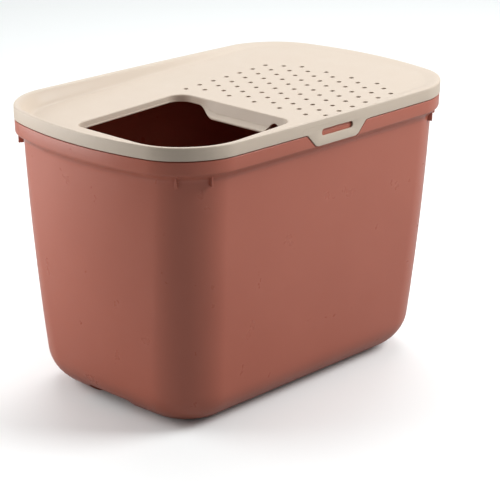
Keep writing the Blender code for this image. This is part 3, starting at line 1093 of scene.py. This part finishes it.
@dataclass
class Lid(Moulding):
    """The lid: skirt, raised lip, tilted vented floor, and the entry's collar with its deep ledge."""

    columns: int = 620
    lip_round: float = 0.0034
    lip_crest: float = 0.0040
    lip_foot: float = 0.0240
    floor_drop: float = 0.0112
    floor_tilt: float = 0.0376
    collar_roll: float = 0.0040
    collar_drop: float = 0.0080
    collar_bead: float = 0.0006
    collar_rounds: tuple[float, float] = (0.0034, 0.0006)
    bead_rounds: tuple[float, float] = (0.0010, 0.0008)
    under_round: float = 0.0010
    ledge_drop: float = 0.0110
    ledge_lean: float = 0.0060
    ledge_lip: float = 0.0090
    ledge_bevel: float = 0.0045
    ledge_round: float = 0.0020
    ledge_blend_y: tuple[float, float] = (0.035, -0.007)
    ledge_blend_x: tuple[float, float] = (-0.062, -0.038)
    lip_rows: int = 12
    floor_rows: int = 16
    narrow_rows: float = 1.6
    skirt_rounds: tuple[float, float, float] = (0.0012, 0.0005, 0.0006)
    vent_pitch: float = 0.0268
    vent_radius: float = 0.0037
    vent_chamfer: float = 0.0002
    vent_depth: float = 0.006
    vent_runout: float = 0.002
    vent_start: tuple[float, float] = (0.0009, -0.0842)
    vent_first_row: int = -3
    vent_rows: int = 11
    vent_span: tuple[int, int] = (0, 7)
    vent_first_span: tuple[int, int] = (0, 6)
    vent_last_span: tuple[int, int] = (-1, 6)
    vent_sides: int = 20
    hang_y: float = -0.1095
    hang_radius: float = 0.0095
    hang_drop: float = 0.0305
    hang_runout: float = 0.010
    hang_steps: int = 32
    hang_ends: tuple[float, float] = (-0.060, -0.024)
    window_depth: float = 0.0006

    def floor_z(self, x: np.ndarray) -> np.ndarray:
        """Height of the tilted floor at x."""
        return self.plan.height - self.floor_drop + self.floor_tilt * x

    def top_z(self, points: np.ndarray) -> np.ndarray:
        """Height of the lid's upper face.

        Args:
            points: plan positions, array (n, 2).

        Returns:
            Array (n,): the tilted floor, raised to the full height by an S curve of the distance to the
            lid's outline, which is the least distance to any chord of it.
        """
        rim = self.plan.rim.points()
        start, chord = rim, np.roll(rim, -1, axis=0) - rim
        least = np.empty(len(points))
        for part in np.array_split(np.arange(len(points)), max(1, len(points) // BATCH)):
            away = points[part][:, None, :] - start
            along = np.clip((away * chord).sum(axis=2) / (chord * chord).sum(axis=1), 0.0, 1.0)
            least[part] = np.linalg.norm(away - along[:, :, None] * chord, axis=2).min(axis=1)
        floor = self.floor_z(points[:, 0])
        return floor + (self.plan.height - floor) * (1 - smoothstep(least, self.lip_crest, self.lip_foot))

    def ledge_share(self, points: np.ndarray) -> np.ndarray:
        """1 along the opening's right side, where the collar is a deep ledge, and 0 elsewhere."""
        by_y = smoothstep(points[:, 1], *self.ledge_blend_y)
        return by_y * smoothstep(points[:, 0], *self.ledge_blend_x)

    def face_rows(self, outer: np.ndarray, inner: np.ndarray, width: np.ndarray) -> list[np.ndarray]:
        """Plan rows of the upper face from the lip's crest to the collar's roll.

        Args:
            outer: the lid's outline, array (n, 2).
            inner: the entry's outline, paired with it.
            width: the distance between the two, square to the outer.

        Returns:
            Rows (n, 2). The lip's rows are evenly close together, and closer where the face is narrow;
            the floor's rows share out what is left.
        """
        span = width - self.collar_roll - self.lip_crest
        widest = (self.lip_foot - self.lip_crest) / self.lip_rows
        step = np.minimum(widest, span / (self.lip_rows * self.narrow_rows))
        insets = [self.lip_crest + step * row for row in range(self.lip_rows + 1)]
        rest = width - self.collar_roll - insets[-1]
        insets += [insets[self.lip_rows] + rest * row / self.floor_rows for row in range(1, self.floor_rows)]
        return [outer + (inner - outer) * (inset / width)[:, None] for inset in insets]

    def section(self) -> np.ndarray:
        """The lid's rounded section carried round the entry opening.

        Returns:
            Array (rows, n, 3), closed both ways: the upper face from the lip inward, the collar, the
            under face back outward, and the skirt.
        """
        plan, wall = self.plan, self.plan.wall
        opening = EntryOpening()
        outer, inner = matched_loops(
            plan.rim.points(), opening.points(), np.array(opening.centre), self.columns)
        out_normal, in_normal = loop_normals(outer), loop_normals(inner)
        width = np.abs(((outer - inner) * out_normal).sum(axis=1))
        share = self.ledge_share(inner)
        lean, tongue = self.ledge_lean * share, self.collar_bead + self.ledge_lip * share

        def beside(distance: np.ndarray | float) -> np.ndarray:
            """The opening's outline moved outward by a distance."""
            return inner + in_normal * np.broadcast_to(distance, len(inner))[:, None]

        face = self.face_rows(outer, inner, width)
        heights = [self.top_z(row) for row in face]
        edge_z = self.top_z(beside(self.collar_roll))
        low_z = self.floor_z(inner[:, 0]) - self.collar_drop - self.ledge_drop * share
        top_round, foot_round = self.collar_rounds
        foot_round = foot_round + (self.ledge_round - foot_round) * share
        rows: list[tuple[np.ndarray, np.ndarray | float]] = [
            (lifted(outer, plan.height), self.lip_round)]
        rows += [(lifted(row, height), 0.0) for row, height in zip(face, heights)]
        rows += [
            (lifted(beside(self.collar_roll), edge_z), 0.0),
            (lifted(beside(0.0), edge_z), top_round),
            (lifted(beside(-lean), low_z + self.ledge_bevel * share), foot_round),
            (lifted(beside(-lean - tongue), low_z), self.bead_rounds[0]),
            (lifted(beside(-lean - tongue), low_z - wall), self.bead_rounds[1]),
            (lifted(beside(wall - lean), low_z - wall), self.under_round),
            (lifted(beside(wall), edge_z - wall), self.under_round),
        ]
        rows += [
            (lifted(row, height - wall), 0.0) for row, height in zip(reversed(face), reversed(heights))]
        rows += [
            (lifted(outer - out_normal * wall, plan.height - wall), self.skirt_rounds[0]),
            (lifted(outer - out_normal * wall, plan.skirt_z), self.skirt_rounds[1]),
            (lifted(outer, plan.skirt_z), self.skirt_rounds[2]),
        ]
        return rounded_rows(rows, closed=True)

    def vents(self) -> bpy.types.Object:
        """One cutter of a chamfered pin for each vent.

        Returns:
            The pins, each a turned profile of radius against height, sheared to the floor's tilt and
            repeated over staggered rows whose distance is the pitch times half the root of 3.
        """
        radius, flare, depth, runout = self.vent_radius, self.vent_chamfer, self.vent_depth, self.vent_runout
        profile = np.array([
            (radius, -depth), (radius, -flare), (radius + flare, 0.0), (radius + flare + runout, runout)])
        around = np.linspace(0, 2 * math.pi, self.vent_sides, endpoint=False)
        pin = np.stack([
            profile[:, :1] * np.cos(around), profile[:, :1] * np.sin(around),
            np.broadcast_to(profile[:, 1:], (len(profile), self.vent_sides))], axis=-1)
        pin[..., 2] += self.floor_tilt * pin[..., 0]
        solid = np.concatenate([pin.reshape(-1, 3), [(0.0, 0.0, -depth), (0.0, 0.0, runout)]])
        last = self.vent_first_row + self.vent_rows - 1
        ends = {self.vent_first_row: self.vent_first_span, last: self.vent_last_span}
        spans = [(row, ends.get(row, self.vent_span)) for row in range(self.vent_first_row, last + 1)]
        places = np.array([(row, place) for row, span in spans for place in range(*span)])
        x = self.vent_start[0] + (places[:, 1] + (places[:, 0] % 2) / 2) * self.vent_pitch
        y = self.vent_start[1] + places[:, 0] * self.vent_pitch * math.sqrt(3) / 2
        middles = np.stack([x, y, self.floor_z(x)], axis=-1)
        starts = np.arange(len(middles))[:, None, None] * len(solid)
        faces = [(group + starts).reshape(-1, group.shape[1]) for group in capped_faces(*pin.shape[:2])]
        return mesh_object("vent_pins", (middles[:, None] + solid).reshape(-1, 3), faces)

    def hang_notch(self) -> bpy.types.Object:
        """Cutter for the notch in the ledge.

        Returns:
            A solid whose YZ outline is a half circle over a rectangle.
        """
        spring = self.plan.height - self.hang_drop
        low = spring - self.hang_runout
        loop = np.concatenate([
            arc((self.hang_y, spring), self.hang_radius, 0, 180, self.hang_steps),
            [(self.hang_y - self.hang_radius, low), (self.hang_y + self.hang_radius, low)]])
        return prism("hang_notch", loop, Plane.YZ, *self.hang_ends, np.array([self.hang_y, spring]))

    def windows(self, tabs: dict[Side, SnapTab]) -> list[bpy.types.Object]:
        """Cutters for the two gaps in the skirt that the tabs fill.

        Args:
            tabs: the tabs, by side.

        Returns:
            One cutter for each tab, larger than it by a hairline.
        """
        made = []
        for side, tab in tabs.items():
            half, top, low = tab.half + tab.hairline, tab.top_z + tab.hairline, self.plan.skirt_z - CUT_MARGIN
            loop = np.array([(-half, low), (half, low), (half, top), (-half, top)])
            near = side.value * (self.plan.width / 2 - self.plan.wall - self.window_depth)
            far = side.value * (self.plan.width / 2 + CUT_MARGIN)
            centre = np.array([0.0, (top + low) / 2])
            made.append(prism(f"window_{side.name}", loop, Plane.XZ, min(near, far), max(near, far), centre))
        return made

    def build(self, tabs: dict[Side, SnapTab]) -> bpy.types.Object:
        """Makes the lid.

        Args:
            tabs: the tabs, whose sizes shape the gaps in the skirt.

        Returns:
            The finished piece.
        """
        lid = ring_solid("lid_shell", self.section())
        combine(lid, [self.vents(), self.hang_notch(), *self.windows(tabs)], Change.CUT)
        return lid


@dataclass
class SnapTab(Moulding):
    """A snap tab: a plate that follows the skirt, with a filleted foot and a round-ended finger slot."""

    side: Side = Side.FRONT
    half: float = 0.0660
    flank_half: float = 0.0580
    low_half: float = 0.0400
    fillet: float = 0.0120
    top_drop: float = 0.0085
    low_drop: float = 0.0358
    slot_half: float = 0.0305
    slot_radius: float = 0.0046
    slot_drop: float = 0.0187
    hairline: float = 0.00008
    centre_drop: float = 0.0155
    flank_margin: float = 1.5
    fade: tuple[float, float] = (0.0004, -0.0006)
    outer_round: float = 0.0006
    slot_round: float = 0.0007
    back_round: float = 0.0003
    fillet_steps: int = 8
    slot_steps: int = 40
    run_steps: int = 12
    edge_steps: int = 4
    columns: int = 420

    @property
    def top_z(self) -> float:
        """Height of the flexing line."""
        return self.plan.height - self.top_drop

    @property
    def low_z(self) -> float:
        """Height of the tab's lower edge."""
        return self.plan.height - self.low_drop

    @property
    def centre(self) -> np.ndarray:
        """A point in the slot that sees all of both outlines, in XZ."""
        return np.array([0.0, self.plan.height - self.centre_drop])

    def rounded_corner(self, before: np.ndarray, corner: np.ndarray, after: np.ndarray) -> np.ndarray:
        """Rounds a corner by the tab's fillet radius.

        Args:
            before: the point before the corner.
            corner: the corner.
            after: the point after it.

        Returns:
            Array (n, 2): an arc that is tangent to both sides.
        """
        rows = [(np.array([[*point, 0.0]]), size) for point, size in (
            (before, 0.0), (corner, self.fillet), (after, 0.0))]
        return rounded_rows(rows, closed=False, steps=self.fillet_steps)[1:-1, 0, :2]

    def outline(self, margin: float, runout: float) -> np.ndarray:
        """Anticlockwise XZ outline: a straight top part over a filleted trapezoid.

        Args:
            margin: how far it is moved outward.
            runout: how far its foot is carried on down.

        Returns:
            Array (n, 2), densified along its straight runs.
        """
        skirt_z, low_z = self.plan.skirt_z - margin, self.low_z - runout
        slope = (self.flank_half - self.low_half) / (self.plan.skirt_z - self.low_z)
        flank = self.flank_half + self.flank_margin * margin
        low = np.array([flank - slope * (skirt_z - low_z), low_z])
        high = np.array([flank, skirt_z])
        shoulder = np.array([self.half + margin, skirt_z])
        right = np.concatenate([
            self.rounded_corner(low * (-1, 1), low, high),
            self.rounded_corner(low, high, shoulder),
            [shoulder, (self.half + margin, self.top_z)],
        ])
        loop = np.concatenate([right, right[::-1] * (-1, 1)])
        share = np.linspace(0, 1, self.run_steps, endpoint=False)[:, None]
        following = np.roll(loop, -1, axis=0)
        return np.concatenate([start + (end - start) * share for start, end in zip(loop, following)])

    def slot_loop(self) -> np.ndarray:
        """Anticlockwise XZ outline of the slot: two half circles joined by straight runs."""
        reach, middle = self.slot_half - self.slot_radius, self.plan.height - self.slot_drop
        return np.concatenate([
            arc((reach, middle), self.slot_radius, -90, 90, self.slot_steps),
            arc((-reach, middle), self.slot_radius, 90, 270, self.slot_steps)])

    def build(self) -> bpy.types.Object:
        """Makes the tab.

        Returns:
            The finished piece: a four-cornered section carried round between the outline and the slot.
            Its outer edges are rounded only below the skirt, where they show, and its faces follow the
            skirt's bow.
        """
        outer, inner = matched_loops(self.outline(0.0, 0.0), self.slot_loop(), self.centre, self.columns)
        below = smoothstep(outer[:, 1], *(self.plan.skirt_z + step for step in self.fade))
        front, back = 0.0, self.plan.wall
        rows = [
            (lifted(outer, front), self.outer_round * below),
            (lifted(inner, front), self.slot_round),
            (lifted(inner, back), self.back_round),
            (lifted(outer, back), self.back_round),
        ]
        grid = rounded_rows(rows, closed=True, steps=self.edge_steps)
        x, z, depth = grid[..., 0], grid[..., 1], grid[..., 2]
        y = self.side.value * (self.plan.side_y(x) - depth)
        placed = np.stack([x, y, z], axis=-1)
        if self.side is Side.BACK:
            placed = placed[::-1]
        return ring_solid(f"{self.side.name.lower()}_tab", placed)


# ---------------------------------------------------------------- stage


def away_from(azimuth: float, elevation: float) -> Vector:
    """Unit vector from the box to a bearing and a rise in degrees; a bearing of 0 is towards -Y."""
    turn, tilt = math.radians(azimuth), math.radians(elevation)
    return Vector((math.sin(turn) * math.cos(tilt), -math.cos(turn) * math.cos(tilt), math.sin(tilt)))


@dataclass(frozen=True)
class Softbox:
    """A square soft light that faces the box; its bearing and rise are in degrees, its power in watts."""

    name: str
    azimuth: float
    elevation: float
    distance: float
    size: float
    power: float
    aim_height: float = 0.2

    def place(self) -> None:
        """Adds the light to the scene."""
        away = away_from(self.azimuth, self.elevation)
        data = bpy.data.lights.new(self.name, "AREA")
        data.shape = "SQUARE"
        data.size = self.size
        data.energy = self.power
        thing = linked(self.name, data)
        place = Matrix.Translation(away * self.distance + Vector((0, 0, self.aim_height)))
        thing.matrix_world = place @ (-away).to_track_quat("-Z", "Y").to_matrix().to_4x4()


# From the camera: a near light at the left, a high and a low one at the right, a broad one high behind
# the box, and one farther behind it
SOFTBOXES = (
    Softbox("left_box", azimuth=-135, elevation=16, distance=1.2, size=1.0, power=11.2),
    Softbox("right_box", azimuth=45, elevation=38, distance=3.0, size=1.5, power=73.0),
    Softbox("low_right_box", azimuth=45, elevation=20, distance=3.0, size=1.3, power=4.7),
    Softbox("top_box", azimuth=133, elevation=60, distance=3.2, size=2.4, power=42.0),
    Softbox("far_box", azimuth=133, elevation=33, distance=5.0, size=3.0, power=11.0),
)


@dataclass(frozen=True)
class Studio:
    """Floor, lights, world and camera. The floor has one tone for the camera and one for bounced light."""

    azimuth: float = -46.7695
    elevation: float = 19.2156
    distance: float = 2.5624
    lens: float = 132.76
    sensor: float = 36.0
    reach: float = 60.0
    slide: tuple[float, float] = (0.0241, -0.0318)
    roll: float = 0.408
    floor_size: float = 16.0
    floor_tone: float = 0.99
    floor_bounce: float = 0.40
    floor_cool: float = 0.972
    floor_gloss: float = 0.1
    world_facing: tuple[float, float] = (-0.2, 0.8)
    world_strength: tuple[float, float] = (0.25, 0.77)

    def camera(self, height: float) -> None:
        """Places the camera.

        Args:
            height: the box's height; the camera aims beside its middle.
        """
        turn, roll = math.radians(self.azimuth), math.radians(self.roll)
        back = away_from(self.azimuth, self.elevation)
        level = Vector((math.cos(turn), math.sin(turn), 0.0))
        plumb = back.cross(level)
        right = level * math.cos(roll) + plumb * math.sin(roll)
        up = plumb * math.cos(roll) - level * math.sin(roll)
        data = bpy.data.cameras.new("camera")
        data.lens = self.lens
        data.sensor_width = self.sensor
        data.clip_end = self.reach
        thing = linked("camera", data)
        aim = Vector((0, 0, height / 2)) + right * self.slide[0] + up * self.slide[1]
        turned = Matrix((right, up, back)).transposed().to_4x4()
        thing.matrix_world = Matrix.Translation(aim + back * self.distance) @ turned
        bpy.context.scene.camera = thing

    def floor(self) -> None:
        """A pale floor, a little cooler than the light that the tub throws on it."""
        square = np.array([(-0.5, -0.5, 0.0), (0.5, -0.5, 0.0), (0.5, 0.5, 0.0), (-0.5, 0.5, 0.0)])
        thing = mesh_object("studio_floor", square * self.floor_size, [np.array([[0, 1, 2, 3]])])
        material = bpy.data.materials.new("floor_paper")
        material.use_nodes = True
        graph = Graph(material.node_tree)
        shader = graph.add("ShaderNodeBsdfPrincipled", Roughness=0.9)
        shader.inputs["Specular IOR Level"].default_value = self.floor_gloss
        seen = graph.add("ShaderNodeLightPath").outputs["Is Camera Ray"]
        tones = [(tone * self.floor_cool, tone, tone, 1.0) for tone in (self.floor_bounce, self.floor_tone)]
        graph.join(graph.mix(seen, *tones), shader.inputs["Base Color"])
        graph.join(shader.outputs["BSDF"], graph.add("ShaderNodeOutputMaterial").inputs["Surface"])
        thing.data.materials.append(material)
        thing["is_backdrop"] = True

    def world(self) -> None:
        """Grey surroundings that brighten evenly from behind the camera to behind the box."""
        world = bpy.data.worlds.new("studio_world")
        world.use_nodes = True
        graph = Graph(world.node_tree)
        facing = graph.add("ShaderNodeVectorMath", operation="DOT_PRODUCT")
        graph.join(graph.add("ShaderNodeTexCoord").outputs["Generated"], facing.inputs[0])
        facing.inputs[1].default_value = away_from(self.azimuth + 180, 0.0)
        strength = graph.spread(facing.outputs["Value"], *self.world_facing, *self.world_strength)
        background = graph.add("ShaderNodeBackground", Color=(1.0, 1.0, 1.0, 1.0))
        graph.join(strength, background.inputs["Strength"])
        graph.join(background.outputs["Background"], graph.add("ShaderNodeOutputWorld").inputs["Surface"])
        bpy.context.scene.world = world
        bpy.context.scene.view_settings.view_transform = "Standard"

    def build(self, height: float) -> None:
        """Makes the whole stage.

        Args:
            height: the box's height.
        """
        self.camera(height)
        for light in SOFTBOXES:
            light.place()
        self.floor()
        self.world()


def main() -> None:
    logging.basicConfig(level=logging.INFO, format="%(name)s: %(message)s")
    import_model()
    cad_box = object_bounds()
    low, high = cad_box
    lid_low, lid_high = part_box("lid")
    plan = BoxPlan(length=lid_high.x - lid_low.x, width=lid_high.y - lid_low.y, height=high.z - low.z)
    grain, settled = moulded_grain_group(), settled_dust_group()
    terracotta, cream = TERRACOTTA.build(grain, settled), CREAM.build(grain, settled)
    tabs = {
        Side.FRONT: SnapTab(plan, "front_clip", CREAM, side=Side.FRONT),
        Side.BACK: SnapTab(plan, "back_clip", CREAM, side=Side.BACK),
    }
    tub, lid = Tub(plan, "tub", TERRACOTTA), Lid(plan, "lid", CREAM)
    tub.dress(tub.build(tabs), terracotta)
    lid.dress(lid.build(tabs), cream)
    for tab in tabs.values():
        tab.dress(tab.build(), cream)
    Studio().build(plan.height)


if __name__ == "__main__":
    main()
